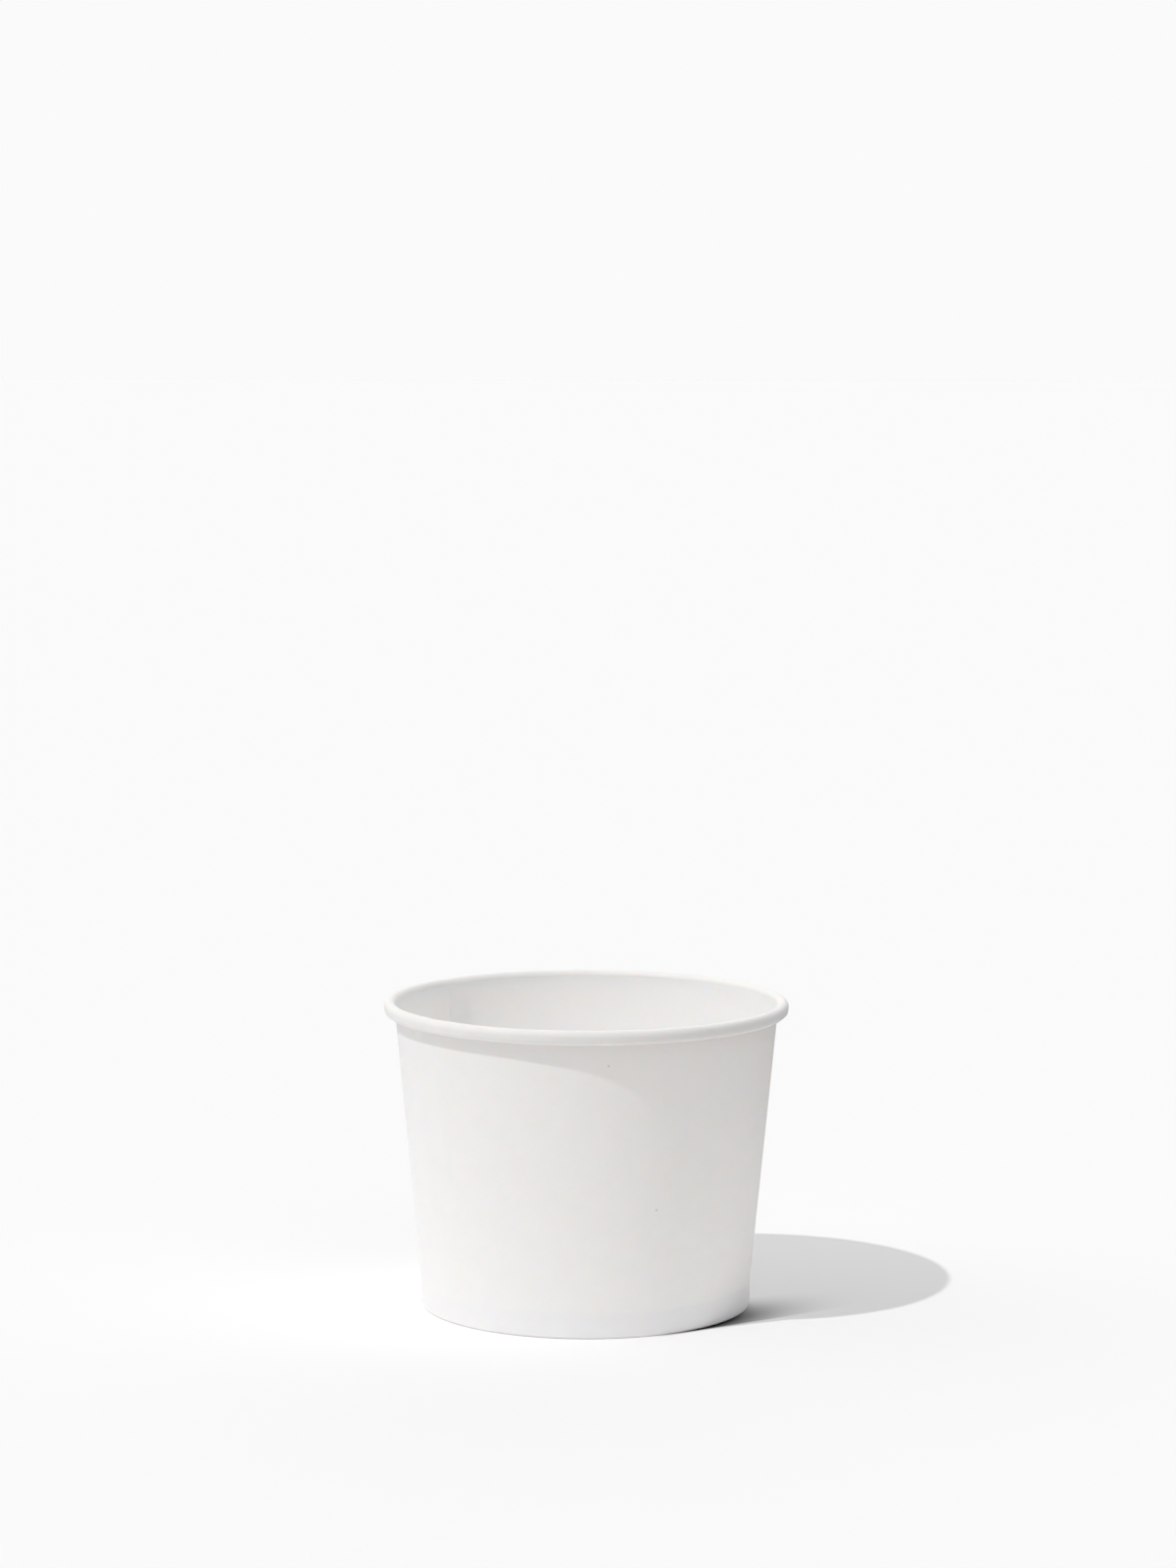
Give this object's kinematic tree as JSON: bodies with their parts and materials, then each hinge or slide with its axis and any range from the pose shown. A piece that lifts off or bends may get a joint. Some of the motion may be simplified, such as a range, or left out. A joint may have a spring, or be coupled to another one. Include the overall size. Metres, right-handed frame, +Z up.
{
  "type": "paper soup container",
  "caption": "Round white paperboard soup container: tapered wrapped wall with a rolled rim, lapped side seam and a skirted bottom disc gripped in a turned-in hem.",
  "frame": {"origin": "centre of the ring that the container stands on", "axes": "+Z up along the container's axis; the camera of the picture looks along +Y, and the side seam is at the back left"},
  "size_m": [0.117, 0.117, 0.089],
  "materials": {
    "wall_board": "white coated board, soft sheen",
    "bottom_board": "white coated board, soft sheen"
  },
  "bodies": {
    "root": {"side_wall": "wall_board", "bottom_disc": "bottom_board"}
  },
  "joints": []
}
